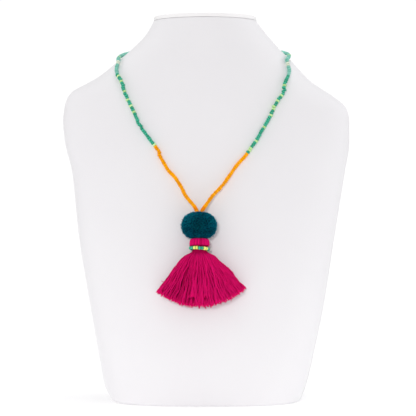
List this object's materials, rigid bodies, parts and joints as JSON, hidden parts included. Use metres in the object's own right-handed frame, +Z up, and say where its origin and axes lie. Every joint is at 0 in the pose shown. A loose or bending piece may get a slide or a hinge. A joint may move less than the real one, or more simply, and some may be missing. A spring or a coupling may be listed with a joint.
{
  "type": "tassel necklace on neck bust",
  "caption": "Closed string of seed beads with a cut yarn pompom and a fanned yarn tassel, hung round a plain neck display bust.",
  "frame": {"origin": "on the face that the bust stands on, under the middle of its neck", "axes": "+Z up, -Y out of the chest towards the viewer, +X to the viewer's right"},
  "size_m": [0.2897, 0.1445, 0.3843],
  "materials": {
    "leatherette": "matte",
    "green_glass": "gloss",
    "orange_glass": "gloss",
    "clasp_metal": "polished",
    "teal_yarn": "matte",
    "magenta_yarn": "matte",
    "lime_glass": "gloss"
  },
  "bodies": {
    "root": {"bust_form": "leatherette", "neck_cap": "leatherette", "green_beads": "green_glass", "orange_beads": "orange_glass", "clasp": "clasp_metal", "pompom": "teal_yarn", "tassel": "magenta_yarn", "bead_band": "lime_glass"}
  },
  "joints": []
}
